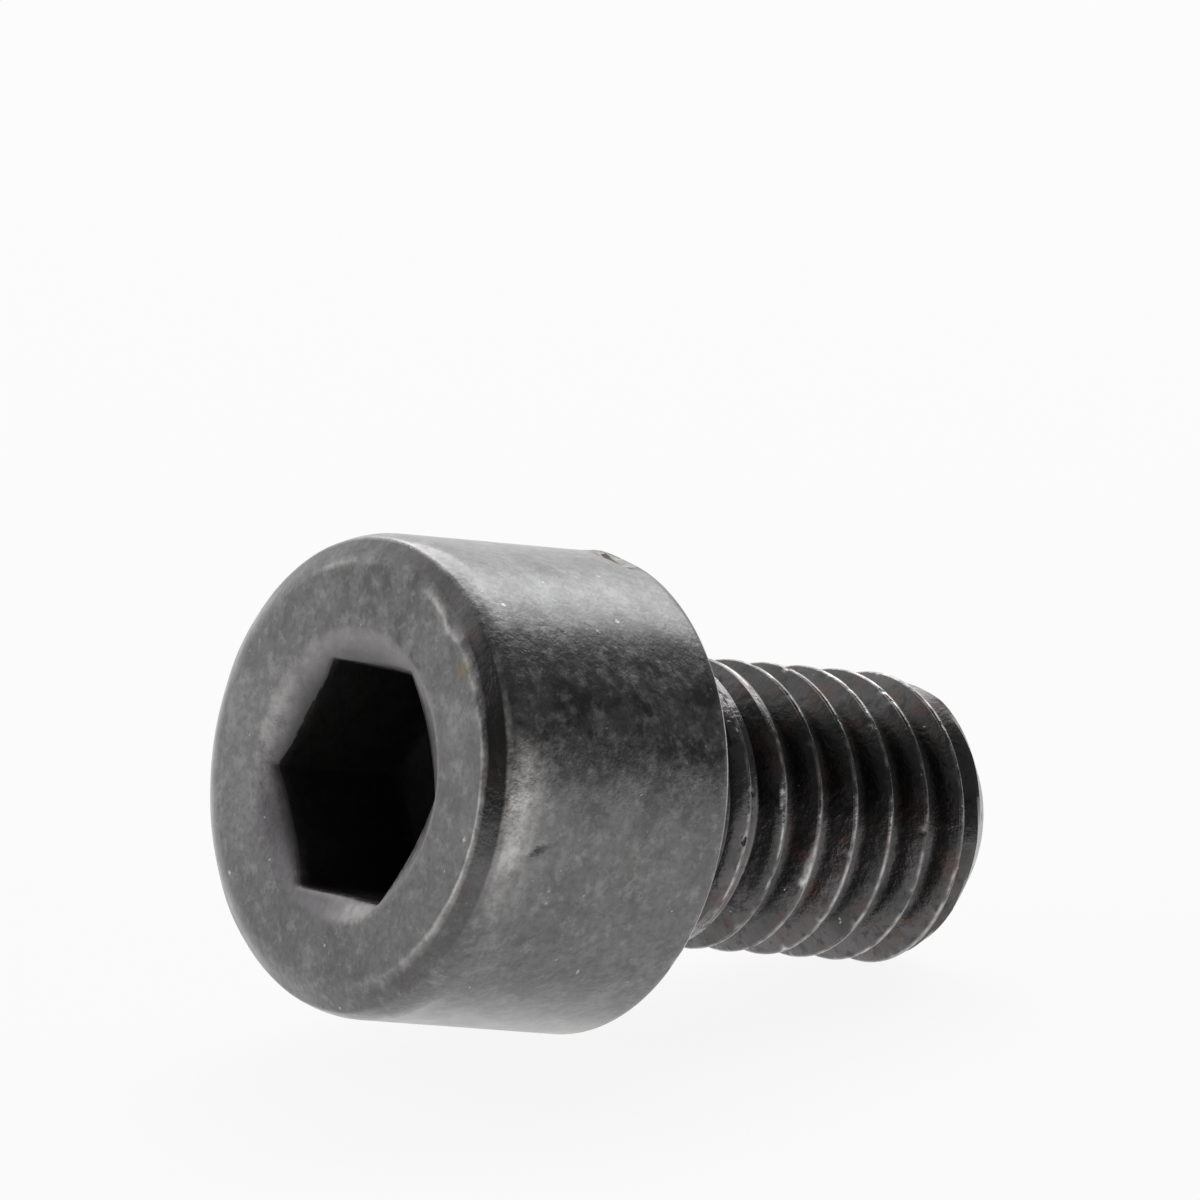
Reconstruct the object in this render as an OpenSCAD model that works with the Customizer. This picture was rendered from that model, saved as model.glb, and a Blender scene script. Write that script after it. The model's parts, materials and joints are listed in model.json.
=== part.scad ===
// Socket head cap screw, M8 x 1.25 x 12, fully threaded, lying on a flat surface.
// It is built along its own axis: the bearing face under the head is z = 0, the head
// lies below it and the thread runs up to the tip. lie_down() then lays it to rest.

/* [Head] */
// Diameter of the head
head_d = 13; // [12:0.1:15]
// Height of the head, from the bearing face to the top face
head_h = 8; // [7:0.1:12]
// Radius of the rounding round the top face
top_round = 1.1; // [0.6:0.05:1.4]
// Diameter of the flat top face, which ends in a crisp edge
face_d = 11.4; // [10.9:0.05:11.6]
// Width of the small 45 degree chamfer between the head's side and the bearing face
rim_chamfer = 0.2; // [0.1:0.05:0.3]
// Radius of the fillet between the bearing face and the neck
neck_fillet = 0.5; // [0.3:0.05:0.8]

/* [Socket] */
// Width of the hexagon across its flats
socket_af = 6.1; // [5:0.05:6.2]
// Depth of the flats below the top face
socket_depth = 4.5; // [3.5:0.1:5]
// Included angle of the cone at the socket's floor
floor_angle = 140; // [110:5:170]
// Diameter of the shallow dish round the hexagon, where the punch went in
dish_d = 7.8; // [7.6:0.05:8.5]
// Depth of that dish at the hexagon's corners
dish_depth = 0.12; // [0.05:0.01:0.2]
// Angle of one of the hexagon's corners, from the line that points down at rest
socket_turn = 25.4; // [0:0.1:60]

/* [Thread] */
// Nominal diameter of the thread
thread_d = 8; // [7:0.1:8.5]
// How much smaller the crests are than the nominal diameter
crest_allowance = 0.12; // [0.05:0.01:0.24]
// Pitch of the right-hand thread
pitch = 1.25; // [1:0.05:1.5]
// Length of the threaded shank, from the bearing face to the tip
shank_len = 12; // [10:0.5:30]
// Length of the plain neck under the head
neck_len = 1.2; // [0.9:0.1:2]
// Length over which the groove fades out towards the neck
runout_len = 1.9; // [1:0.1:3]
// Length of the 45 degree chamfer at the tip
tip_chamfer = 1.2; // [0.8:0.05:1.6]
// Distance from the last full crest to the chamfer
last_crest_gap = 0.03; // [0.02:0.01:0.1]
// Flats that the thread has in one turn
thread_sides = 40; // [24:4:60]

/* [Hidden] */
round_sides = 96;
// Overlap of pieces that are joined, and overrun of pieces that cut
lap = 0.5;
// Turn of the head's seam away from the line that points down at rest
seam_turn = 180;
steel = [0.13, 0.13, 0.14];

head_r = head_d / 2;
face_r = face_d / 2;
// Height at which the top rounding meets the head's side
top_round_h = sqrt(pow(top_round, 2) - pow(face_r - head_r + top_round, 2));

// ISO metric thread: a 60 degree V with a flat crest and a rounded root
thread_height = 17 / 24 * pitch * sqrt(3) / 2;
root_round = pitch * sqrt(3) / 12;
crest_half = pitch / 16;
crest_r = (thread_d - crest_allowance) / 2;
root_r = crest_r - thread_height;
neck_r = thread_d / 2;
tip_r = crest_r - tip_chamfer;

// One pitch of the thread's outline: [distance along the axis, height above the root]
thread_outline = [
    [0, 0],
    [root_round * cos(30), root_round * (1 - sin(30))],
    [pitch / 2 - crest_half, thread_height],
    [pitch / 2 + crest_half, thread_height],
    [pitch - root_round * cos(30), root_round * (1 - sin(30))]
];
rows = len(thread_outline);

// The last full crest ends just before the chamfer, on the line that points down
last_crest = shank_len - tip_chamfer - last_crest_gap;
turns_above = ceil((tip_chamfer + last_crest_gap) / pitch) + 1;
turns_below = ceil((last_crest + lap) / pitch) + 1;
thread_start = last_crest - pitch / 2 - crest_half - turns_below * pitch;
columns = thread_sides * (turns_below + turns_above + 1);

// At rest the screw lies on the outer corner of the rim's chamfer and on a flat of the last full crest
rest_drop = head_r - crest_r * cos(180 / thread_sides);
rest_span = last_crest + rim_chamfer;
rest_tilt = atan2(rest_drop, rest_span);
rest_height = head_r * cos(rest_tilt) - rim_chamfer * sin(rest_tilt);
head_reach = (head_h - top_round_h) * cos(rest_tilt) + (head_r - top_round) * sin(rest_tilt) + top_round;
tip_reach = shank_len * cos(rest_tilt) + tip_r * sin(rest_tilt);

// Half section of the head, its rounded edges and the neck
module head_section() {
    difference() {
        translate([0, -head_h]) square([head_r, head_h]);
        difference() {
            translate([head_r - top_round, -head_h - lap]) square([top_round + lap, top_round_h + lap]);
            translate([head_r - top_round, top_round_h - head_h]) circle(top_round, $fn = round_sides);
        }
        polygon([
            [head_r - rim_chamfer - lap, lap], [head_r + lap, lap], [head_r + lap, -rim_chamfer - lap]
        ]);
    }
    translate([0, -lap]) square([neck_r, neck_len + lap]);
    difference() {
        translate([0, -lap]) square([neck_r + neck_fillet, neck_fillet + lap]);
        translate([neck_r + neck_fillet, neck_fillet]) circle(neck_fillet, $fn = round_sides);
    }
}

// Hexagon socket with its conical floor and the shallow dish round its mouth
module socket() {
    floor_h = socket_af / 2 / tan(floor_angle / 2);
    corner_r = socket_af / 2 / cos(30);
    dish_h = dish_depth * dish_d / 2 / (dish_d / 2 - corner_r);
    translate([0, 0, -head_h - lap]) rotate([0, 0, socket_turn])
        cylinder(h = socket_depth + lap, r = corner_r, $fn = 6);
    translate([0, 0, socket_depth - head_h])
        cylinder(h = floor_h, r1 = socket_af / 2, r2 = 0, $fn = round_sides);
    translate([0, 0, -head_h - lap])
        cylinder(h = dish_h + lap, r1 = dish_d / 2 * (1 + lap / dish_h), r2 = 0, $fn = round_sides);
}

// How much of the thread's groove is filled at height z, where it fades out at the neck
function groove_fill(z) = thread_height * max(0, min(1, 1 - (z - neck_len) / runout_len));

// Point of the thread's surface in column i of the helix and row j of the outline
function thread_point(i, j) =
    let (
        turns = (i + 0.5) / thread_sides,
        a = 360 * turns,
        z = thread_start + pitch * turns + thread_outline[j][0],
        r = root_r + max(thread_outline[j][1], groove_fill(z))
    )
    [r * cos(a), r * sin(a), z];

// Number of that point: the row after the last is the first row of the next turn
function point_no(i, j) = j < rows ? i * rows + j : (i + thread_sides) * rows;

// Thread running past both ends of the shank, as one closed helical body
module thread_helix() {
    bottom_no = (columns + 1) * rows;
    top_no = bottom_no + 1;
    last_turn = columns - thread_sides;
    points = [
        for (i = [0 : columns]) for (j = [0 : rows - 1]) thread_point(i, j),
        [0, 0, thread_start - pitch],
        [0, 0, thread_start + pitch * (columns / thread_sides + 2)]
    ];
    sides = [
        for (i = [0 : columns - 1]) for (j = [0 : rows - 1])
            if (j < rows - 1 || i < last_turn)
                each [
                    [point_no(i, j), point_no(i, j + 1), point_no(i + 1, j + 1)],
                    [point_no(i, j), point_no(i + 1, j + 1), point_no(i + 1, j)]
                ]
    ];
    bottom_end = [for (i = [0 : thread_sides - 1]) [bottom_no, point_no(i, 0), point_no(i + 1, 0)]];
    bottom_step = [bottom_no, point_no(0, rows), for (j = [rows - 1 : -1 : 0]) point_no(0, j)];
    top_end = [
        for (i = [last_turn : columns - 1])
            [top_no, point_no(i + 1, rows - 1), point_no(i, rows - 1)]
    ];
    top_step = [top_no, point_no(last_turn, rows - 1), for (j = [0 : rows - 1]) point_no(columns, j)];
    polyhedron(points, concat(sides, bottom_end, [bottom_step], top_end, [top_step]), convexity = 10);
}

// Half section that trims the helix: square inside the head, chamfered at the tip
module shank_section() {
    wide_r = crest_r + lap;
    polygon([
        [0, -lap], [wide_r, -lap], [wide_r, shank_len - tip_chamfer - lap],
        [tip_r, shank_len], [0, shank_len]
    ]);
}

// Lays the upright screw on its side, with its lowest line on z = 0 and centred in x
module lie_down() {
    translate([(head_reach - tip_reach) / 2, 0, rest_height]) rotate([0, 90 + rest_tilt, 0]) children();
}

// The screw itself, forged and thread-rolled from one piece of steel
module cap_screw() {
    color(steel) lie_down() {
        difference() {
            rotate([0, 0, seam_turn]) rotate_extrude($fn = round_sides) head_section();
            socket();
        }
        intersection() {
            thread_helix();
            rotate_extrude($fn = round_sides) shank_section();
        }
    }
}

cap_screw();
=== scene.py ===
# %% [markdown]
# # A short socket head cap screw lying on a pale table
#
# The screw is one piece of steel. A bar's end is forged into the tall round head, a
# punch presses the hexagon into it, and the shank is rolled between dies that press the
# thread. Last comes a bath that turns the skin into black oxide.
#
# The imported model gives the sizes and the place. This file builds the same screw again
# as one fine skin, with edges, knocks and wear, and gives it the oxide finish. Lengths
# are written in millimetres, as on a drawing, and become metres where the points are
# placed.

import json
import math

import bpy
import numpy as np
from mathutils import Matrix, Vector


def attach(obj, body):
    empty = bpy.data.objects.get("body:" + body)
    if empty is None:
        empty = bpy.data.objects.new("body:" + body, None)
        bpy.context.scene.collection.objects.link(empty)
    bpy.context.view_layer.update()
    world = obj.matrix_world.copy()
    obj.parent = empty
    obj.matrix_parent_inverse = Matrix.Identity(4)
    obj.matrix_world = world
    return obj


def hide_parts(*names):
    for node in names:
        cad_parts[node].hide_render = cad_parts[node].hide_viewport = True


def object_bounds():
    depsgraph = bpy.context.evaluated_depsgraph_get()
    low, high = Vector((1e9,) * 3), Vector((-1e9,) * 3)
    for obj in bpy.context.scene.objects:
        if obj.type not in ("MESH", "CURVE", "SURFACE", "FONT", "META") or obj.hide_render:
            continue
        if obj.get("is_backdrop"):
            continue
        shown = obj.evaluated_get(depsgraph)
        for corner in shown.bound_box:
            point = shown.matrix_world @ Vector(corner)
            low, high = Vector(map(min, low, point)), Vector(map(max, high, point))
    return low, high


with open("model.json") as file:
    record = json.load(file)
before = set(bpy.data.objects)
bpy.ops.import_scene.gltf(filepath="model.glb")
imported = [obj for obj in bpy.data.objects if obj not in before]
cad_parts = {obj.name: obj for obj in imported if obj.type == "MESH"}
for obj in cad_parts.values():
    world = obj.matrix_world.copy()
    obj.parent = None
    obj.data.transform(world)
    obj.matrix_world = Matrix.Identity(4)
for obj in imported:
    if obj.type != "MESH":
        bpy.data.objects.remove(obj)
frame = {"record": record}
model_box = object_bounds()
box_in_mm = [[round(v * 1000, 2) for v in corner] for corner in model_box]
print("packed model's box in mm:", box_in_mm)

# %% [markdown]
# ## The screw's own axes
#
# Everything on a screw turns round one axis, so each point is written as a radius, an
# angle and a distance along that axis. The distance is 0 at the bearing face, under the
# head, and grows towards the tip. The angle is 0 on the line that points down at rest.
# The screw could be modelled upright and its object turned, but a finished piece stays
# unturned here, so the tilt goes into the points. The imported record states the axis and
# the bearing face, so the place comes from there.

# %% Axes from the record
mounts = {mount["name"]: mount for mount in frame["record"]["mounts"]}
to_tip = np.array(mounts["bearing_face"]["axis"], float)
to_tip /= np.linalg.norm(to_tip)
downwards = np.array([to_tip[2], 0.0, -to_tip[0]])
sideways = np.array([0.0, 1.0, 0.0])
on_the_ring = np.array(mounts["bearing_face"]["pos_m"], float)
bearing_centre = on_the_ring * (1 - sideways)


def place(radius, angle, along):
    """Points in metres: the bearing face's centre, plus radius * cos(angle) downwards,
    plus radius * sin(angle) sideways, plus the distance along the axis to the tip."""
    radius, angle, along = np.broadcast_arrays(radius, angle, along)
    offsets = (
        (radius * np.cos(angle))[..., None] * downwards
        + (radius * np.sin(angle))[..., None] * sideways
        + along[..., None] * to_tip
    )
    return bearing_centre + offsets / 1000


print("tilt of the axis:", round(math.degrees(math.asin(-to_tip[2])), 3), "degrees")

# %% [markdown]
# ## Grids that become a skin
#
# A turned or forged part has one outline all round, with small faults in it. It could be
# a spun profile with sculpted faults, but here each part of the skin is a grid: rows go
# along the axis and columns go round it, so that every row can wander and wear in its
# own way. The columns are the same for head and thread, one a degree, so the two meet
# point to point. They start at a corner of the hexagon, so all six corners fall on a
# column.

# %% Columns, and rows between two outlines
SOCKET_TURN = math.radians(25.4)
COLUMNS = 360
angles = SOCKET_TURN + np.arange(COLUMNS) * 2 * np.pi / COLUMNS
skin_rows = []


def add_rows(radius, along, wear_and_highlight=0.0, oil_and_shade=0.0):
    """Keeps rows of points: radius and distance along, with how worn and how oily they are; the wear also
    holds painted highlights and the oil painted shade.
    """
    grids = np.broadcast_arrays(radius, along, wear_and_highlight, oil_and_shade, np.zeros((1, COLUMNS)))
    skin_rows.append(np.stack(grids[:4], axis=-1))


def slope_rows(start, end, count, wear_and_highlight=0.0, oil_and_shade=0.0):
    """Rows from one outline to another in equal steps: start + (end - start) * share.
    The start itself is left out, because the rows before it end there."""
    share = (np.arange(1, count + 1) / count)[:, None]
    radius = start[0] + (end[0] - start[0]) * share
    along = start[1] + (end[1] - start[1]) * share
    add_rows(radius, along, wear_and_highlight, oil_and_shade)


print("columns:", COLUMNS, "and", round(math.degrees(angles[1] - angles[0]), 2), "degrees apart")


# %% Lines that wander and fade round the axis
def ragged(seed, first=5, last=60):
    """A closed wandering line round the axis: waves of many counts a turn, each with a
    chance phase, weaker the finer they are, scaled to about -1 to 1."""
    chance = np.random.default_rng(seed)
    counts = np.arange(first, last)[:, None]
    phases = chance.uniform(0, 2 * np.pi, counts.shape)
    waves = np.cos(counts * angles + phases) / np.sqrt(counts)
    line = waves.sum(axis=0)
    return line / np.abs(line).max()


def smoothed(line, reach=8):
    """A closed line evened out: the average over its neighbours, up to reach columns
    away on both sides."""
    return np.mean([np.roll(line, step) for step in range(-reach, reach + 1)], axis=0)


def lobe(angle, width):
    """1 at an angle in degrees, fading like a bell curve of that width on both sides."""
    off = np.degrees(np.angle(np.exp(1j * (angles - math.radians(angle)))))
    return np.exp(-((off / width) ** 2))


print("a lobe 10 degrees wide covers", int((lobe(0, 10) > 0.5).sum()), "columns")

# %% [markdown]
# ## The hexagon socket
#
# A punch makes the socket, and its corners are never quite sharp. It could be cut with a
# Boolean, but then its points would not meet the rows round it. So the outline comes
# from the six flats: each flat pushes the wall out to its own distance, and a soft
# maximum of the six gives flats with slightly rounded corners. A drill has left a cone
# in the floor. The punch drags some steel down with it, which leaves a shallow dish
# round the mouth, and the mouth's own edge is rubbed bright by keys.

# %% Sizes and outline of the socket
HEAD_HEIGHT = 8.0
SOCKET_FLAT = 3.05
SOCKET_DEPTH = 4.5
FLOOR_CONE = math.radians(70)
DISH_RADIUS = 3.9
DISH_SLOPE = 0.42
LEAD_IN = 0.07
# The higher this power, the sharper the hexagon's corners
CORNER_POWER = 90
# The punch stood a little off the middle: so far downwards and sideways
socket_shift = np.array([0.13, -0.2])


def hexagon(flat):
    """Radius of a rounded hexagon at each column: one over the soft maximum of how
    straight each flat faces the column, divided by that flat's distance."""
    facing = SOCKET_TURN + np.radians(30 + 60 * np.arange(6))[:, None]
    distance = flat + np.cos(facing) * socket_shift[0] + np.sin(facing) * socket_shift[1]
    share = np.maximum(np.cos(angles - facing), 0) / distance
    return (share**CORNER_POWER).sum(axis=0) ** (-1 / CORNER_POWER)


def dish_height(radius):
    """Distance along the axis of the face within the dish: it sinks evenly inwards."""
    return -HEAD_HEIGHT + DISH_SLOPE * np.maximum(DISH_RADIUS - radius, 0)


wall = hexagon(SOCKET_FLAT)
mouth = hexagon(SOCKET_FLAT + LEAD_IN)
print("socket's wall:", round(float(wall.min()), 3), "to", round(float(wall.max()), 3), "mm from the axis")

# %% Socket, from the middle of its floor to its mouth
floor_level = SOCKET_DEPTH - HEAD_HEIGHT
cone_tip = (0.0, floor_level + SOCKET_FLAT / math.tan(FLOOR_CONE))
cone_rim = (SOCKET_FLAT - 0.05, floor_level)
floor_edge = (wall - 0.04, floor_level - 0.02)
wall_foot = (wall, floor_level - 0.08)
wall_top = (wall, dish_height(wall) + 1.4 * LEAD_IN)
mouth_edge = (mouth, dish_height(mouth) + 0.015)
# The mouth's edge is rubbed bright mostly on the flat that faces down and forward
mouth_wear = 0.1 + 0.9 * lobe(-64, 26) + 0.35 * lobe(-5, 22) + 0.2 * lobe(150, 40)
mouth_wear = np.array([[0.2], [0.7], [0.9]]) * mouth_wear

add_rows(np.zeros((1, COLUMNS)), cone_tip[1])
slope_rows(cone_tip, cone_rim, 6)
slope_rows(cone_rim, floor_edge, 2)
slope_rows(floor_edge, wall_foot, 1)
slope_rows(wall_foot, wall_top, 12)
slope_rows(wall_top, mouth_edge, 3, wear_and_highlight=mouth_wear)
print("socket's depth to the cone's tip:", round(cone_tip[1] + HEAD_HEIGHT, 3), "mm")

# %% [markdown]
# ## The head
#
# Round the socket lies the dish and then the flat face, which ends in an edge. A bevel
# and a rounding lead over to the smooth side, and a small chamfer to the bearing face.
# One profile spun round the axis would give the shape but no life, so each ring has its
# own small faults, as forged steel does. The face's edge is crisp in front and softer
# above and below, and it has two chips. The edges have bright, slightly ragged rims,
# partly because there the oxide rubs off first and partly as painted highlights. The
# bevel is painted darker with the oily black, as painted shade.

# %% Sizes of the head
HEAD_RADIUS = 6.5
FACE_RADIUS = 5.7
TOP_ROUND = 1.1
RIM_CHAMFER = 0.2
NECK_RADIUS = 4.0
NECK_FILLET = 0.5
round_centre = HEAD_RADIUS - TOP_ROUND
round_lean = math.acos((FACE_RADIUS - round_centre) / TOP_ROUND)
round_level = -HEAD_HEIGHT + TOP_ROUND * math.sin(round_lean)
print("the head's rounding ends", round(-round_level, 3), "mm above the bearing face")

# %% Dish and flat face
dish_start = (mouth + 0.04, dish_height(mouth + 0.04))
dish_foot = (DISH_RADIUS - 0.05, dish_height(DISH_RADIUS - 0.05))
dish_edge = (DISH_RADIUS + 0.06, -HEAD_HEIGHT)
dish_wear = 0.6 * lobe(-21, 13) + 0.5 * lobe(98, 26) + 0.15 * lobe(150, 40)
slope_rows(dish_start, dish_foot, 4, wear_and_highlight=dish_wear)
slope_rows(dish_foot, dish_edge, 1, wear_and_highlight=0.5 * dish_wear)

face_edge = FACE_RADIUS + 0.02 * ragged(3)
# How far the face's edge is rounded: hardly on the side in front, more above and below
softness = 0.05 + 0.3 * (1 - lobe(-84, 62)) * (1 + 0.3 * ragged(6, 2, 12))
# Two chips in the edge, near the top
chipped = (0.16 * lobe(-146, 7) + 0.12 * lobe(-126, 7)) * (1 + 0.8 * ragged(17, 15, 100))
edge_start = face_edge - softness - chipped
face_wear = 0.14 * lobe(98, 36) + 0.05 * lobe(-100, 40)
slope_rows(dish_edge, (edge_start, -HEAD_HEIGHT), 12, wear_and_highlight=face_wear)
print("face edge:", round(float(face_edge.min()), 3), "to", round(float(face_edge.max()), 3), "mm")

# %% Rounded edge of the face
# With t from 0 to 1 the edge is a quadratic curve: it leaves along the face and arrives
# along the bevel, whose direction is so far outwards and so far towards the tip
BEVEL_LEAN = (0.84, 0.54)
turning = np.linspace(0.25, 1, 4)[:, None]
outwards = 2 * turning * (1 - turning) + turning**2 * (1 + BEVEL_LEAN[0])
edge_radius = edge_start + outwards * softness
edge_level = -HEAD_HEIGHT + turning**2 * BEVEL_LEAN[1] * softness

# Wear and painted highlight: the rim's lobes put a bright line where the rim catches light, most in front
# and in short glints near the top
rim_wear_and_highlight = 0.03 + 1.1 * lobe(-80, 36) + 0.9 * lobe(-150, 9) + 0.5 * lobe(-131, 6) + 0.5 * lobe(160, 14)
rim_wear_and_highlight = np.clip(rim_wear_and_highlight * (1 + 0.7 * ragged(5, 12, 90)), 0, 1)
# A soft edge is bright in one thin line, a crisp edge over all four rows: wear and painted highlight alike
crisp = lobe(-84, 50)
soft_peak = np.array([[0.05], [1.0], [0.3], [0.0]])
crisp_peak = np.array([[0.6], [1.0], [0.9], [0.5]])
edge_peak = soft_peak * (1 - crisp) + crisp_peak * crisp
add_rows(edge_radius, edge_level, wear_and_highlight=edge_peak * rim_wear_and_highlight)
print("the edge is rounded by", round(float(softness.min()), 2), "to", round(float(softness.max()), 2), "mm")

# %% Bevel and shoulder
shoulder = 6.31 + 0.02 * ragged(11, 2, 24)
bevel_start = (smoothed(edge_radius[-1]), smoothed(edge_level[-1]))
bevel_end = (shoulder - 0.05, -7.63)
# Painted shade: the bevel gets the oily black mark, most on its upper front part
painted_bevel_shade = 0.95 * lobe(-115, 60)
slope_rows(bevel_start, bevel_end, 5, oil_and_shade=painted_bevel_shade)

side_start = (HEAD_RADIUS, round_level + 0.1)
shoulder_wear = 0.05 + 0.7 * lobe(-106, 26) + 0.3 * lobe(160, 40)
scuffed = 0.04 + 1.2 * lobe(-93, 17) * (1 + 0.5 * ragged(8, 6, 40))
shoulder_bends = [
    # radius, distance along, rows to get there, wear on the way
    (shoulder + 0.01, -7.585, 1, shoulder_wear),
    (shoulder + 0.05, -7.52, 1, shoulder_wear),
    (6.45, -7.26, 3, scuffed),
    (6.49, -7.05, 2, scuffed),
    (*side_start, 1, 0.5 * scuffed),
]
bend = bevel_end
for radius, along, count, wear_and_highlight in shoulder_bends:
    slope_rows(bend, (radius, along), count, wear_and_highlight=wear_and_highlight)
    bend = (radius, along)
print("shoulder:", round(float(shoulder.min()), 3), "to", round(float(shoulder.max()), 3), "mm")

# %% Side, rim, bearing face and fillet
SIDE_ROWS = 38
side_end = (HEAD_RADIUS, -RIM_CHAMFER - 0.025)
fading = np.exp(-np.arange(SIDE_ROWS) / 1.75)[:, None]
# The narrow lobe low on the side, next to the table, is a painted reflection of the bright table; the rest
# is wear, with the shoulder's scuffs fading out
side_wear_and_reflection = 0.33 * lobe(-26, 11) + 0.06 * lobe(-82, 14) + 0.45 * scuffed * fading
slope_rows(side_start, side_end, SIDE_ROWS, wear_and_highlight=side_wear_and_reflection)

chamfer_start = (HEAD_RADIUS - 0.025, -RIM_CHAMFER + 0.03)
chamfer_end = (HEAD_RADIUS - RIM_CHAMFER, 0.0)
# The bearing face's corner is worn bright; its narrow lobes in front and low down also serve as painted
# highlights where the corner catches light
corner_wear_and_highlight = 0.3 + 0.7 * lobe(-112, 16) + 0.7 * lobe(-62, 7) + 0.4 * lobe(-38, 12) + 0.4 * lobe(150, 50)
corner_wear_and_highlight = np.clip(corner_wear_and_highlight, 0, 1) * (1 + 0.3 * ragged(13))
slope_rows(side_end, chamfer_start, 2, wear_and_highlight=np.array([[1.0], [0.8]]) * corner_wear_and_highlight)
slope_rows(chamfer_start, chamfer_end, 2, wear_and_highlight=0.3 * corner_wear_and_highlight)

slope_rows(chamfer_end, (NECK_RADIUS + NECK_FILLET, 0.0), 5)
fillet = np.radians(np.linspace(15, 90, 6))[:, None]
fillet_radius = NECK_RADIUS + NECK_FILLET * (1 - np.sin(fillet))
add_rows(fillet_radius, NECK_FILLET * (1 - np.cos(fillet)), oil_and_shade=0.5)
print("rows from the socket to the neck:", sum(len(rows) for rows in skin_rows))

# %% [markdown]
# ## The thread
#
# A rolled thread is a ridge that climbs round the shank, one pitch a turn. It could be a
# Screw modifier on a profile, but its run-out, its tip and its worn crests change along
# the way. If a row of the grid climbs with the ridge, the row keeps its place on it: one
# row is the crest's corner all the way, another the bottom of the groove. So the rows
# here climb, and a handful of well-placed rows a pitch draws crests as clean as the dies
# leave them. Towards the neck the groove gets shallower, which leaves the wide crests of
# the run-out, and the last groove is nearly full where the tip's chamfer begins.

# %% Outline of one pitch
PITCH = 1.25
CREST_RADIUS = 3.94
THREAD_HEIGHT = 17 / 24 * PITCH * math.sqrt(3) / 2
ROOT_ROUND = PITCH * math.sqrt(3) / 12
CREST_HALF = PITCH / 16
# How far the crest's corners drop below its middle
CREST_DROP = 0.04
# Places of the rows in a pitch, from one crest's middle to the next
crest_share = CREST_HALF / PITCH
crest_rows = [0.0, 0.35 * crest_share, 0.7 * crest_share, crest_share, crest_share + 0.012]
half_pitch = crest_rows + [0.14, 0.22, 0.31, 0.41]
PITCH_ROWS = np.array(half_pitch + [0.5] + [1 - share for share in half_pitch[:0:-1]])


def ridge(share):
    """Height of the thread above its root, where share counts pitches from the middle of
    a crest. The root is an arc, and the 60 degree flanks climb by the root of 3 for each
    step away from it. The crest is flat, with corners that drop with the square of the
    distance from its middle."""
    off_root = np.abs(0.5 - np.mod(share, 1.0)) * PITCH
    root = ROOT_ROUND - np.sqrt(np.maximum(ROOT_ROUND**2 - off_root**2, 0))
    flank = math.sqrt(3) * off_root - ROOT_ROUND
    height = np.where(off_root < ROOT_ROUND * math.cos(math.radians(30)), root, flank)
    from_middle = np.abs(np.mod(share + 0.5, 1.0) - 0.5) / crest_share
    crest = THREAD_HEIGHT - CREST_DROP * np.clip(from_middle, 0, 1) ** 2
    return np.minimum(height, crest)


print("rows a pitch:", len(PITCH_ROWS), "and ridge height:", round(THREAD_HEIGHT, 3), "mm")

# %% Climbing rows from neck to tip
SHANK_LENGTH = 12.0
NECK_LENGTH = 1.2
NECK_END = CREST_RADIUS - 0.02
RUNOUT_LENGTH = 3.0
TIP_CHAMFER = 1.2
TIP_RADIUS = CREST_RADIUS - TIP_CHAMFER
CONE_START = SHANK_LENGTH - TIP_CHAMFER
LAST_CREST = CONE_START - 0.12 - CREST_HALF
# The last groove fills up over this length, from here on
FILL_START = 10.3
FILL_LENGTH = 0.9

turn_share = (angles / (2 * np.pi))[None, :]
first_turn = math.floor((NECK_LENGTH - LAST_CREST) / PITCH) - 2
last_turn = 3
turns = np.repeat(np.arange(first_turn, last_turn), len(PITCH_ROWS))[:, None]
share_in_pitch = np.tile(PITCH_ROWS, last_turn - first_turn)[:, None]
climb = LAST_CREST + PITCH * (turns + share_in_pitch + turn_share)
thread_along = np.clip(climb, NECK_LENGTH, SHANK_LENGTH)
print("thread rows:", climb.shape[0])

# %% Radius of the thread, with its run-out and its tip
raised = THREAD_HEIGHT * np.clip(1 - (thread_along - NECK_LENGTH) / RUNOUT_LENGTH, 0, 1)
tip_fill = 0.9 * THREAD_HEIGHT * np.clip((thread_along - FILL_START) / FILL_LENGTH, 0, 1)
ridge_height = ridge(np.broadcast_to(share_in_pitch, climb.shape))
ridge_height = np.minimum(ridge_height + raised, np.maximum(ridge_height, THREAD_HEIGHT - 0.02))
ridge_height = np.maximum(ridge_height, tip_fill)
chamfer_radius = CREST_RADIUS - (thread_along - CONE_START)
thread_radius = np.minimum(CREST_RADIUS - THREAD_HEIGHT + ridge_height, chamfer_radius)
# Rows that would climb past the neck or the tip are held there, on one ring
thread_radius = np.where(climb <= NECK_LENGTH, NECK_END, thread_radius)
thread_radius = np.where(climb >= SHANK_LENGTH, TIP_RADIUS, thread_radius)
ends = (round(float(thread_along.min()), 2), round(float(thread_along.max()), 2))
print("thread along the axis:", ends[0], "to", ends[1], "mm")

# %% [markdown]
# ## Rubbed and nicked crests
#
# Crests are the first thing that another screw or a nut touches, so they are rubbed
# bright in a broken line and have small nicks. Both could be painted by hand, but
# a chance line that runs along the whole helix gives them at no cost, and two worn
# patches are put in by place. The crests of the run-out are rough and keep their oil.

# %% Chance line along the helix
winding = angles[None, :] + 2 * np.pi * turns


def chance_line(seed, counts, total):
    """A line that wanders along the whole thread: a sum of waves with these counts a
    turn, each with a chance phase, at the total angle turned so far."""
    phases = np.random.default_rng(seed).uniform(0, 2 * np.pi, len(counts))
    line = np.zeros_like(total)
    for wave, phase in zip(counts, phases):
        line += np.cos(wave * total + phase)
    return line / math.sqrt(len(counts) / 2)


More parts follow.
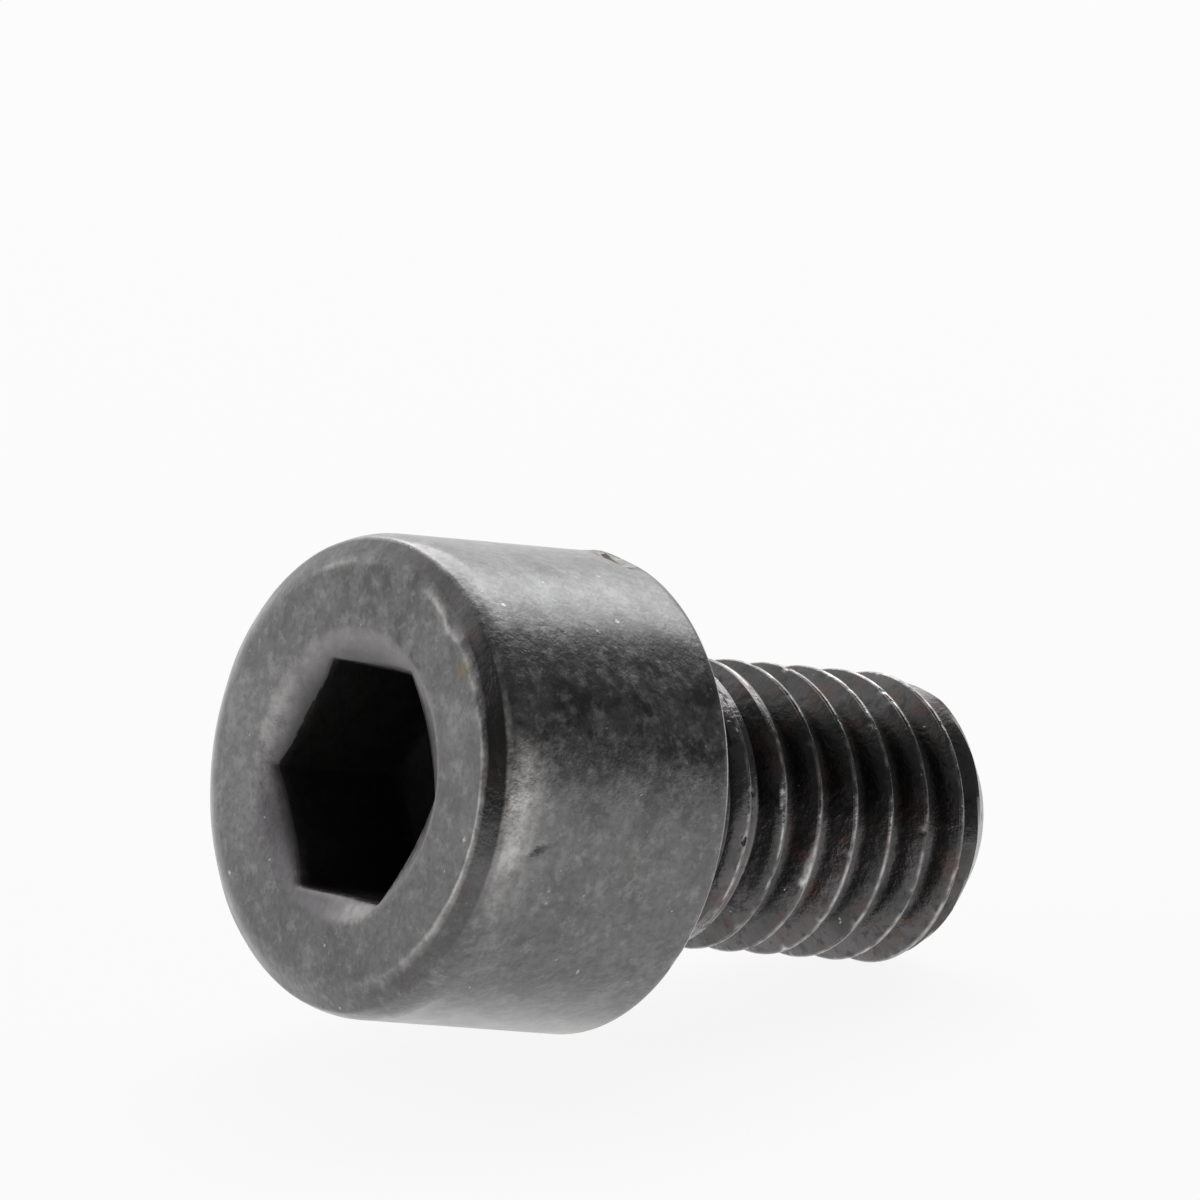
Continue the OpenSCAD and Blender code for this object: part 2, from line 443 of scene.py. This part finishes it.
nicks = np.clip(chance_line(21, [7.3, 11.7, 17.1, 23.9, 31.3, 43.7, 57.1], winding) - 1.3, 0, 1.5)
rubbing = 0.45 + 0.45 * chance_line(22, [1.3, 2.9, 5.3, 9.7, 15.1, 27.3, 49.1], winding)
rubbing = np.clip(rubbing, 0.05, 1)
print("share of the helix that is nicked:", round(float((nicks > 0).mean()), 3))

# %% Nicks and wear on the crests
past_crest = (share_in_pitch - np.round(share_in_pitch)) / crest_share
on_crest = np.abs(past_crest) < 1.3
worn_patch = lobe(-76.7, 8) * np.exp(-(((thread_along - 5.3) / 0.25) ** 2))
worn_patch = worn_patch + lobe(-103, 7) * np.exp(-(((thread_along - 3.89) / 0.22) ** 2))
rough_start = 1 + 1.5 * np.clip((3.4 - thread_along) / 0.8, 0, 1)
thread_radius = thread_radius - on_crest * (0.03 * nicks * rough_start + 0.04 * worn_patch)
# The bright line lies on the side of the crest that faces the head
rubbed_line = np.exp(-(((past_crest + 0.35) / 0.45) ** 2))
crest_wear = np.clip(rubbing * 0.9 * rubbed_line, 0, 1)
crest_wear = np.clip(crest_wear + on_crest * (0.6 * worn_patch + 0.3 * nicks), 0, 1)
crest_wear = crest_wear * np.clip((thread_along - NECK_LENGTH - 0.9) / 0.7, 0.05, 1)
print("deepest nick:", round(float((0.03 * nicks * rough_start).max()), 3), "mm")

# %% Wear on the tip's two corners
# One corner lies where the cone meets the crests, the other where it meets the end face
cone_top = np.exp(-(((thread_along - CONE_START - 0.06) / 0.07) ** 2)) * (thread_radius > 3.75)
cone_end = np.exp(-(((thread_radius - TIP_RADIUS) / 0.06) ** 2)) * (thread_along > 11.8)
end_wear = np.clip(0.35 + 0.3 * ragged(31, 3, 60), 0, 1)
crest_wear = np.maximum(crest_wear, np.maximum(cone_top * 0.6, cone_end) * end_wear)
thread_oil = 1 - 0.7 * np.clip((thread_along - CONE_START - 0.1) / 0.4, 0, 1)
thread = np.stack(np.broadcast_arrays(thread_radius, thread_along, crest_wear, thread_oil), axis=-1)
print("thread's grid:", thread.shape)

# %% [markdown]
# ## Knocks
#
# A loose screw in a box gets small dents and nicks. They could be sculpted, but a list
# of places is easier to read and to change. Each one is a soft pit: the radius drops
# most in the middle and fades like a bell curve round the screw and along it. A pit may
# lean, and a dirty one is dark where a clean one is rubbed bright; at the deep nick near
# the top that darkness is partly dirt and partly painted shade. A depth below 0 makes
# a burr, the steel that a hard knock pushes up beside it.

# %% Pits on the side of the head
KNOCKS = [
    # angle, distance along, width round the head, width along, depth, lean, dirt and painted shade
    (-85.6, -6.35, 0.2, 0.45, 0.15, -0.5, 0),
    (-84.6, -4.8, 0.12, 0.25, 0.07, -0.8, 0),
    (-57.3, -0.26, 0.2, 0.1, 0.06, 0.0, 0),
    (-175.5, -0.55, 0.6, 0.22, 0.24, 0.5, 1),
    (176.5, -0.5, 0.3, 0.25, -0.08, 0.3, 1),
    (-112.1, -0.61, 0.12, 0.1, 0.03, 0.0, 0),
    (-130.0, -3.2, 0.3, 0.5, 0.02, 0.2, 0),
    (40.0, -4.4, 0.5, 0.2, 0.05, 0.5, 0),
    (92.0, -6.2, 0.25, 0.5, 0.05, -0.3, 0),
    (118.0, -2.1, 0.25, 0.4, 0.03, 0.0, 1),
]


def pit_share(radius, along, knock):
    """How much of one knock's depth each point gets: a bell curve of the distance round
    the head and of the distance along it. A leaning knock moves round the head as it
    goes along it."""
    angle, level, width, length, _, lean, _ = knock
    off = np.angle(np.exp(1j * (angles - math.radians(angle)))) * radius - lean * (along - level)
    return np.exp(-((off / width) ** 2) - ((along - level) / length) ** 2)


head_rows = np.concatenate(skin_rows)
outside = head_rows[..., 0] > FACE_RADIUS + 0.3
for knock in KNOCKS:
    share = pit_share(head_rows[..., 0], head_rows[..., 1], knock) * outside
    depth, dirt_and_shade = knock[4], knock[6]
    head_rows[..., 0] -= depth * share
    rubbed_bright = (1 - dirt_and_shade) * np.clip(share - 0.35, 0, 1) * 0.5
    head_rows[..., 2] = np.maximum(head_rows[..., 2] * (1 - dirt_and_shade * share), rubbed_bright)
    # A dirty knock also raises the oil and shade mark; at the deep nick this darkness is partly painted
    # shade
    head_rows[..., 3] = np.maximum(head_rows[..., 3], dirt_and_shade * np.clip(share * 1.5, 0, 1))
print("knocks:", len(KNOCKS))

# %% [markdown]
# ## Joining the grids
#
# The real screw is one closed skin, so the grids have to become one too. They could be
# joined as objects and merged by distance, but on arrays it is quicker and sure. Points
# that fall on the same place are welded, and triangles that lose a corner by it are
# dropped: that closes the socket's middle, the thread's cut ends and the seam. The
# thread's seam joins a row to the row one pitch further on, because one turn climbs one
# pitch. One fault is left: the nicks were cut into the rows held at the neck and at the
# tip too, so those two rings keep small folds whose edges don't pair up.


# %% Triangles of a grid, and the weld
def grid_triangles(rows, first, climb_rows=0):
    """Two triangles for each cell of a grid whose columns close round, where the last
    column meets the first one climb_rows further on."""
    row, column = np.meshgrid(np.arange(rows - 1), np.arange(COLUMNS), indexing="ij")
    seam = climb_rows * (column == COLUMNS - 1)
    keep = row + seam < rows - 1
    here = first + row * COLUMNS + column
    beside = first + (row + seam) * COLUMNS + (column + 1) % COLUMNS
    cells = np.stack([here, beside, beside + COLUMNS, here + COLUMNS], axis=-1)[keep]
    return np.concatenate([cells[:, [0, 1, 2]], cells[:, [0, 2, 3]]])


def weld(points, triangles, step=2e-8):
    """Points on the same place become one, and triangles with two equal corners go."""
    keys = np.round(points / step).astype(np.int64)
    _, first, number = np.unique(keys, axis=0, return_index=True, return_inverse=True)
    triangles = number.reshape(-1)[triangles]
    a, b, c = triangles.T
    triangles = triangles[(a != b) & (b != c) & (c != a)]
    return first, triangles


# %% One skin from neck, thread and tip
tip_radii = np.append([TIP_RADIUS, TIP_RADIUS - 0.1], np.linspace(TIP_RADIUS - 0.2, 0, 5))[:, None]
tip_wear = np.exp(-(((tip_radii - TIP_RADIUS) / 0.06) ** 2)) * end_wear
tip = np.broadcast_arrays(tip_radii, SHANK_LENGTH, tip_wear, 0.5)
neck_ring = np.broadcast_arrays(np.full((1, COLUMNS), NECK_END), NECK_LENGTH, 0.0, 0.8)
head_rows = np.concatenate([head_rows, np.stack(neck_ring, axis=-1)])
grids = [(head_rows, 0), (thread, len(PITCH_ROWS)), (np.stack(tip, axis=-1), 0)]

points, values, triangles = [], [], []
count = 0
for grid, climb_rows in grids:
    points.append(place(grid[..., 0], angles, grid[..., 1]).reshape(-1, 3))
    values.append(grid.reshape(-1, 4))
    triangles.append(grid_triangles(grid.shape[0], count, climb_rows))
    count += grid.shape[0] * COLUMNS
points = np.concatenate(points)
values = np.concatenate(values)
kept, triangles = weld(points, np.concatenate(triangles))
points, values = points[kept], values[kept]
corners = points[triangles]
volume = np.einsum("ij,ij->i", corners[:, 0], np.cross(corners[:, 1], corners[:, 2])).sum() / 6
if volume < 0:
    triangles = triangles[:, ::-1]
print("points:", len(points), "triangles:", len(triangles), "volume:", round(abs(volume) * 1e9, 1), "mm3")

# %% Edges that don't have exactly two faces
edges = np.concatenate([triangles[:, [0, 1]], triangles[:, [1, 2]], triangles[:, [2, 0]]])
faces_at_edge = np.unique(np.sort(edges, axis=1), axis=0, return_counts=True)[1]
print("edges:", len(faces_at_edge), "of which unpaired:", int((faces_at_edge != 2).sum()))


# %% Build the mesh
def make_mesh(name, points, triangles):
    """A mesh object at the origin, from an array of points and an array of triangles."""
    mesh = bpy.data.meshes.new(name)
    mesh.vertices.add(len(points))
    mesh.vertices.foreach_set("co", points.astype(np.float32).ravel())
    mesh.loops.add(triangles.size)
    mesh.loops.foreach_set("vertex_index", triangles.astype(np.int32).ravel())
    mesh.polygons.add(len(triangles))
    mesh.polygons.foreach_set("loop_start", np.arange(0, triangles.size, 3, dtype=np.int32))
    mesh.update(calc_edges=True)
    mesh.validate()
    mesh.shade_smooth()
    piece = bpy.data.objects.new(name, mesh)
    bpy.context.scene.collection.objects.link(piece)
    return piece


screw = make_mesh("cap_screw_skin", points, triangles)
screw.data.set_sharp_from_angle(angle=math.radians(38))
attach(screw, "root")
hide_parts("cap_screw")
print("faces in the mesh:", len(screw.data.polygons))

# %% [markdown]
# ## Marks for the finish to read
#
# Wear, oil, dirt, stains and rust lie where the screw has been touched and where it
# hasn't. Some of the same marks also carry painted light: painted highlights on edges,
# a painted reflection low on the side, and painted shade on the bevel, in the socket and
# in a nick. They could be painted into a picture, but here they are numbers on the points,
# which need no unwrapping and stay with the shape. The finish reads them by name.

# %% Wear, oil and places on the skin
point_radius, point_along, point_wear_and_highlight, point_oil_and_shade = values.T
from_axis = (points - bearing_centre) * 1000
point_angle = np.degrees(np.arctan2(from_axis @ sideways, from_axis @ downwards))


def give_attribute(piece, name, numbers):
    """Stores one number a point on the mesh, for the material to read."""
    layer = piece.data.attributes.new(name, "FLOAT", "POINT")
    layer.data.foreach_set("value", numbers.astype(np.float32))


def patch(angle, width):
    """1 at an angle in degrees, fading like a bell curve, for each point of the skin."""
    off = (point_angle - angle + 180) % 360 - 180
    return np.exp(-((off / width) ** 2))


def spot(angle, radius, along, size):
    """1 at one place on the skin, fading like a bell curve of that size in millimetres."""
    centre = place(np.array(radius), np.radians(angle), np.array(along))
    return np.exp(-(np.linalg.norm(points - centre, axis=1) * 1000 / size) ** 2)


give_attribute(screw, "wear_and_highlight", point_wear_and_highlight)
give_attribute(screw, "oil_and_shade", point_oil_and_shade)
in_dish = np.clip((DISH_RADIUS + 0.05 - point_radius) / 0.15, 0, 1) * (point_along < -7.55)
give_attribute(screw, "dish", in_dish)
give_attribute(screw, "dry_tip", np.clip((point_along - CONE_START - 0.05) / 0.3, 0, 1))
print("oily points:", int((point_oil_and_shade > 0.5).sum()))

# %% Painted shade in the socket, and dirt and painted shade in the nick
# Painted shade: the socket turns dark a little below its mouth, and more slowly on its lowest flat
hollow = (point_radius < DISH_RADIUS) * (point_along < 0)
shade_depth = 0.35 + 1.3 * patch(-8, 24)
inside = hollow * np.clip((point_along + 7.88) / shade_depth, 0, 1)
# The deep nick near the top is darkened as well: partly dirt, partly painted shade in the notch
dirt_and_shade_in_nick = spot(-181, 6.35, -0.5, 0.25) + spot(-176.5, 6.3, -0.6, 0.3)
dirt_and_shade_in_nick = np.clip(dirt_and_shade_in_nick + spot(-172, 6.35, -0.5, 0.25), 0, 1)
give_attribute(screw, "inside", np.maximum(inside, 0.9 * dirt_and_shade_in_nick))
print("dark points:", int((inside > 0.5).sum()))

# %% Stains and rust
head_side = (point_radius > 6.3) * (point_along < -0.1)
on_face = (point_radius > DISH_RADIUS) * (point_along < -7.9)
side_stain = patch(-118, 24) + 0.35 * patch(-56, 13) + 0.6 * patch(70, 30)
give_attribute(screw, "stained", head_side * side_stain + on_face * 0.75 * patch(-168, 42))
rust = 0.8 * spot(-132.5, 5.44, -8.0, 0.22) + 0.9 * spot(-87, 3.6, -7.9, 0.1)
rust = rust + 0.5 * spot(-179, 6.35, -0.5, 0.6)
give_attribute(screw, "rust", rust)
print("rusty points:", int((rust > 0.3).sum()))

# %% [markdown]
# ## Black oxide
#
# Black oxide is a thin skin grown from the steel itself, so it shines like a very dark
# metal, not like paint. It is never even: the bath leaves clouds of warmer and cooler
# grey, the forged surface under it is matte, and where edges rub, bright steel shows. A
# single dark colour would look like plastic. So the finish is one Principled shader at
# full metallic under a thin coat of oil. Noise clouds drive its colour, fine noise its
# roughness and bump, and the stored marks blend it towards bare steel, rust, dirt and
# the wet gloss of the oiled thread. The same marks also paint light: bare steel stands
# for painted highlights on some edges and a painted reflection low on the side, oily
# black for painted shade on the bevel, and near black for painted shade in the socket
# and the nick.

# %% Node helpers
finish = bpy.data.materials.new("black_oxide_steel")
finish.use_nodes = True
nodes = finish.node_tree.nodes
links = finish.node_tree.links
nodes.clear()


def node(kind, inputs=None, **settings):
    """A node with its settings, and its inputs linked to a socket or set to a value."""
    new = nodes.new(kind)
    for name, value in settings.items():
        setattr(new, name, value)
    for name, value in (inputs or {}).items():
        if isinstance(value, bpy.types.NodeSocket):
            links.new(value, new.inputs[name])
        else:
            new.inputs[name].default_value = value
    return new


def ease(value, low, high, to_low=0.0, to_high=1.0):
    """Smooth step of a value from low to high."""
    inputs = {"Value": value, "From Min": low, "From Max": high, "To Min": to_low, "To Max": to_high}
    return node("ShaderNodeMapRange", inputs, interpolation_type="SMOOTHSTEP").outputs["Result"]


def maths(operation, first, second=0.0):
    """One sum on two values."""
    return node("ShaderNodeMath", {0: first, 1: second}, operation=operation).outputs[0]


def blend_colours(share, first, second):
    """Mix of two colours by a share."""
    mix = node("ShaderNodeMix", data_type="RGBA")
    for socket, value in zip((mix.inputs[0], mix.inputs[6], mix.inputs[7]), (share, first, second)):
        if isinstance(value, bpy.types.NodeSocket):
            links.new(value, socket)
        else:
            socket.default_value = value
    return mix.outputs[2]


# %% Noises and stored marks
where = node("ShaderNodeTexCoord").outputs["Object"]
MARKS = ("wear_and_highlight", "oil_and_shade", "dish", "inside", "stained", "rust", "dry_tip")
stored = {name: node("ShaderNodeAttribute", attribute_name=name).outputs["Fac"] for name in MARKS}


def noise(scale, detail, roughness=0.55, distortion=0.0):
    """Cloud noise on object coordinates, from 0 to 1, with scale waves a metre."""
    inputs = {"Vector": where, "Scale": scale, "Detail": detail}
    inputs.update({"Roughness": roughness, "Distortion": distortion})
    return node("ShaderNodeTexNoise", inputs).outputs["Fac"]


clouds = noise(380, 6, 0.62, 0.5)
patches = noise(140, 3, 0.5)
blotches = noise(900, 5, 0.65, 0.3)
grain = noise(5200, 3, 0.6)
grit = noise(2300, 4, 0.7)
wrinkles = noise(1300, 3, 0.55, 1.2)
print("stored marks:", len(stored))

# %% Colour of the oxide on the head
oxide = blend_colours(ease(clouds, 0.3, 0.7), (0.098, 0.094, 0.095, 1), (0.162, 0.158, 0.165, 1))
oxide = blend_colours(ease(patches, 0.35, 0.65, 0.0, 0.5), oxide, (0.125, 0.14, 0.13, 1))
stains = maths("MAXIMUM", stored["stained"], ease(patches, 0.55, 0.7, 0.15, 0.5))
stains = maths("MULTIPLY", stains, ease(blotches, 0.46, 0.62))
oxide = blend_colours(stains, oxide, (0.028, 0.027, 0.029, 1))
oxide = blend_colours(ease(grain, 0.35, 0.75, 0.0, 0.6), oxide, (0.05, 0.045, 0.045, 1))
oxide = blend_colours(ease(grit, 0.48, 0.7, 0.0, 0.6), oxide, (0.3, 0.295, 0.3, 1))
oxide = blend_colours(maths("MULTIPLY", stored["dish"], 0.45), oxide, (0.2, 0.175, 0.195, 1))
print("nodes so far:", len(nodes))

# %% Oily black, bare steel and rust, also used as painted shade and painted highlight
black_for_oil_and_shade = blend_colours(ease(clouds, 0.35, 0.65), (0.03, 0.03, 0.029, 1), (0.085, 0.078, 0.08, 1))
black_for_oil_and_shade = blend_colours(ease(blotches, 0.52, 0.65, 0.0, 0.8), black_for_oil_and_shade, (0.07, 0.038, 0.03, 1))
black_for_oil_and_shade = blend_colours(ease(grit, 0.52, 0.66, 0.0, 0.85), black_for_oil_and_shade, (0.012, 0.011, 0.011, 1))
# The oily black is real oil on the thread and the neck, and painted shade on the bevel
skin_colour = blend_colours(stored["oil_and_shade"], oxide, black_for_oil_and_shade)
# Bare steel is rubbed steel, and also the painted highlights and painted reflection kept in the same mark
rubbed_and_highlight = maths("MULTIPLY", stored["wear_and_highlight"], ease(grit, 0.3, 0.62, 0.25, 1.0))
specks = ease(noise(3300, 2, 0.5), 0.735, 0.775)
bare_and_highlight = maths("MAXIMUM", rubbed_and_highlight, maths("MULTIPLY", specks, 0.6))
colour = blend_colours(bare_and_highlight, skin_colour, (0.6, 0.585, 0.57, 1))
colour = blend_colours(stored["rust"], colour, (0.2, 0.14, 0.075, 1))
print("nodes so far:", len(nodes))

# %% Dry tip, and painted shade in the socket and the nick
dry = blend_colours(ease(grit, 0.3, 0.65), (0.035, 0.037, 0.03, 1), (0.1, 0.104, 0.088, 1))
dry = blend_colours(ease(blotches, 0.48, 0.62, 0.0, 0.8), dry, (0.02, 0.019, 0.018, 1))
dry_share = maths("MULTIPLY", stored["dry_tip"], ease(clouds, 0.35, 0.6, 0.5, 0.9))
dry_share = maths("MULTIPLY", dry_share, maths("SUBTRACT", 1.0, stored["wear_and_highlight"]))
colour = blend_colours(dry_share, colour, dry)
# Painted shade: the socket, and the nick with its dirt, are blended to near black
colour = blend_colours(maths("MULTIPLY", stored["inside"], 0.96), colour, (0.01, 0.008, 0.007, 1))
dull = maths("MAXIMUM", stored["inside"], maths("MULTIPLY", dry_share, 0.75))
print("nodes so far:", len(nodes))

# %% Gloss, bump and the shader
matte = maths("ADD", maths("MULTIPLY", grit, 0.6), maths("MULTIPLY", blotches, 0.4))
roughness = ease(matte, 0.35, 0.65, 0.3, 0.56)
roughness = maths("SUBTRACT", roughness, maths("MULTIPLY", stored["oil_and_shade"], 0.2))
roughness = maths("ADD", roughness, maths("MULTIPLY", dull, 0.3))
metal = maths("SUBTRACT", 1.0, maths("MULTIPLY", dull, 0.6))
surface = maths("ADD", maths("MULTIPLY", grit, 0.5), maths("MULTIPLY", grain, 0.5))
surface = maths("ADD", surface, maths("MULTIPLY", blotches, 0.4))
oil_wrinkles = maths("MULTIPLY", maths("MULTIPLY", wrinkles, stored["oil_and_shade"]), 0.5)
surface = maths("ADD", surface, oil_wrinkles)
bump = node("ShaderNodeBump", {"Height": surface, "Strength": 0.8, "Distance": 0.00006})
steel = node(
    "ShaderNodeBsdfPrincipled",
    {
        "Base Color": colour,
        "Metallic": metal,
        "Roughness": roughness,
        "Normal": bump.outputs["Normal"],
        "Coat Weight": 0.75,
        "Coat Roughness": 0.22,
        "Coat IOR": 1.6,
    },
)
node("ShaderNodeOutputMaterial", {"Surface": steel.outputs["BSDF"]})
screw.data.materials.append(finish)
print("finish nodes:", len(nodes))

# %% The same finish without its wet coat
# A copy without the coat goes on the socket and the deep nick, so that they reflect less and look darker:
# painted shade, with some dirt in the nick
uncoated_shade_finish = finish.copy()
uncoated_shade_finish.name = "black_oxide_uncoated_shade"
for part in uncoated_shade_finish.node_tree.nodes:
    if part.type == "BSDF_PRINCIPLED":
        part.inputs["Coat Weight"].default_value = 0.0
screw.data.materials.append(uncoated_shade_finish)
uncoated_shade_faces = ((inside > 0.9) | (dirt_and_shade_in_nick > 0.45))[triangles].all(axis=1)
screw.data.polygons.foreach_set("material_index", uncoated_shade_faces.astype(np.int32))
print("faces without the coat:", uncoated_shade_faces.sum())

# %% [markdown]
# ## Table, light and camera
#
# The screw lies in a white light tent on a white table. Dark metal shows little but what
# it reflects, so a plain lamp would leave it black. The world is the tent: white all
# round, with a darker opening in front, whose reflection gives the dark band along the
# head. A soft lamp above and behind gives the bright upper edge. For what the camera
# sees, the table is mostly plain white, with a little of its own light, so that the soft
# shadow stays.

# %% Table
TABLE_REACH = 1.5
table_corners = np.array([(-1, -1, 0), (1, -1, 0), (1, 1, 0), (-1, 1, 0)]) * TABLE_REACH
table_mesh = bpy.data.meshes.new("table")
table_mesh.from_pydata(table_corners.tolist(), [], [(0, 1, 2, 3)])
table = bpy.data.objects.new("table", table_mesh)
bpy.context.scene.collection.objects.link(table)
table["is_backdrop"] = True
print("table:", 2 * TABLE_REACH, "m across")

# %% White table top that keeps the shadow
paper = bpy.data.materials.new("white_table")
paper.use_nodes = True
nodes, links = paper.node_tree.nodes, paper.node_tree.links
nodes.clear()
path = node("ShaderNodeLightPath").outputs
seen = maths("MAXIMUM", path["Is Camera Ray"], path["Is Glossy Ray"])
seen = maths("MAXIMUM", seen, path["Is Transmission Ray"])
matt = node("ShaderNodeBsdfDiffuse", {"Color": (0.8, 0.8, 0.8, 1)})
plain = node("ShaderNodeEmission", {"Color": (1, 1, 1, 1), "Strength": 1.0})
white_share = maths("MULTIPLY", seen, 0.9)
mixed = node("ShaderNodeMixShader", {0: white_share, 1: matt.outputs[0], 2: plain.outputs[0]})
node("ShaderNodeOutputMaterial", {"Surface": mixed.outputs[0]})
table_mesh.materials.append(paper)
print("table nodes:", len(nodes))

# %% Light tent with a dark opening
world = bpy.data.worlds.new("light_tent")
bpy.context.scene.world = world
world.use_nodes = True
nodes, links = world.node_tree.nodes, world.node_tree.links
nodes.clear()
direction = node("ShaderNodeTexCoord").outputs["Generated"]
axes = node("ShaderNodeSeparateXYZ", {"Vector": direction}).outputs
front = ease(axes["Y"], 0.42, 0.0)
above = ease(axes["Z"], 0.0, 0.15)
opening = maths("MULTIPLY", front, above)
strength = maths("SUBTRACT", 0.95, maths("MULTIPLY", opening, 0.8))
tent = node("ShaderNodeBackground", {"Color": (1, 1, 1, 1), "Strength": strength})
node("ShaderNodeOutputWorld", {"Surface": tent.outputs[0]})
print("tent nodes:", len(nodes))

# %% Soft lamp above and behind
lamp_light = bpy.data.lights.new("soft_lamp", "AREA")
lamp_light.shape = "RECTANGLE"
lamp_light.size = 0.5
lamp_light.size_y = 0.34
lamp_light.energy = 1.3
lamp = bpy.data.objects.new("soft_lamp", lamp_light)
lamp.location = (0.26, 0.21, 0.365)
lamp.rotation_euler = (Vector((0, 0, 0)) - lamp.location).to_track_quat("-Z", "Y").to_euler()
bpy.context.scene.collection.objects.link(lamp)
print("lamp:", round(lamp.location.length, 3), "m from the screw")

# %% Camera
CAMERA_PLACE = Vector((-327.466, -422.201, 151.9)) / 1000
CAMERA_AIM = Vector((-3.335, -3.203, 12.581)) / 1000
camera_data = bpy.data.cameras.new("camera")
camera_data.sensor_width = 36
camera_data.lens = 618.06
camera = bpy.data.objects.new("camera", camera_data)
camera.location = CAMERA_PLACE
camera.rotation_euler = (CAMERA_AIM - CAMERA_PLACE).to_track_quat("-Z", "Y").to_euler()
bpy.context.scene.collection.objects.link(camera)
bpy.context.scene.camera = camera
print("camera at", round((CAMERA_AIM - CAMERA_PLACE).length * 1000, 1), "mm from the screw")

# %% View settings, sizes and the end
bpy.context.scene.view_settings.view_transform = "Standard"
scene_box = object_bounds()
box_in_mm = [[round(v * 1000, 2) for v in corner] for corner in scene_box]
print("box of the finished screw in mm:", box_in_mm)
